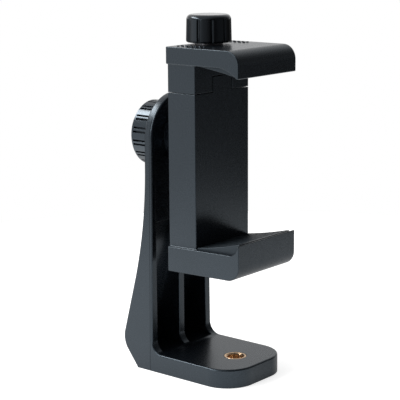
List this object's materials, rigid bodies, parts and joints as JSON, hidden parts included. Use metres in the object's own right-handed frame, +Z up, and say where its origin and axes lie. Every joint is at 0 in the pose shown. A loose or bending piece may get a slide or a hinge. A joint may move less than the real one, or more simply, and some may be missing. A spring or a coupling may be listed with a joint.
{
  "type": "tripod phone mount adapter",
  "caption": "L-shaped plastic bracket with a brass tripod thread in its base, carrying a swivelling screw clamp with two lipped, padded jaws for a phone.",
  "frame": {"origin": "on the axis of the tripod thread, at the underside of the base", "axes": "+Z up along the arm, -Y toward the phone's side, X across the base and the jaws"},
  "size_m": [0.0366, 0.0579, 0.14],
  "materials": {
    "moulded_plastic": "fine satin mould texture",
    "satin_knob": "satin",
    "gloss_knob": "gloss",
    "rubber": "matt",
    "brass": "machined",
    "steel": "zinc plated"
  },
  "bodies": {
    "bracket": {"bracket": "moulded_plastic", "tripod_insert": "brass"},
    "clamp": {"clamp_body": "moulded_plastic", "back_cover": "moulded_plastic", "cover_screws": "steel", "pivot_bolt": "steel", "friction_washer": "rubber", "lower_pad": "rubber", "screw_nut": "brass"},
    "upper_jaw": {"upper_jaw": "moulded_plastic", "upper_pad": "rubber", "thrust_washer": "steel"},
    "top_knob": {"top_knob": "gloss_knob", "clamp_screw": "steel", "retaining_ring": "steel"},
    "rear_knob": {"rear_knob": "satin_knob", "knob_nut": "brass", "rear_washer": "steel"}
  },
  "joints": [
    {"name": "swivel", "type": "hinge", "parent": "bracket", "child": "clamp", "pos_m": [0, 0.0273, 0.0923], "axis": [0, 1, 0], "continuous": true},
    {"name": "jaw_slide", "type": "slide", "parent": "clamp", "child": "upper_jaw", "axis": [0, 0, 1], "range_m": [0, 0.036]},
    {"name": "top_knob_turn", "type": "hinge", "parent": "upper_jaw", "child": "top_knob", "pos_m": [0, 0.0125, 0.13], "axis": [0, 0, 1], "range_deg": [0, 5190]},
    {"name": "rear_knob_turn", "type": "hinge", "parent": "clamp", "child": "rear_knob", "pos_m": [0, 0.0366, 0.0923], "axis": [0, 1, 0], "continuous": true}
  ],
  "couplings": [
    {"joint": "top_knob_turn", "follows": "jaw_slide", "rad_per_m": 2513.3}
  ]
}
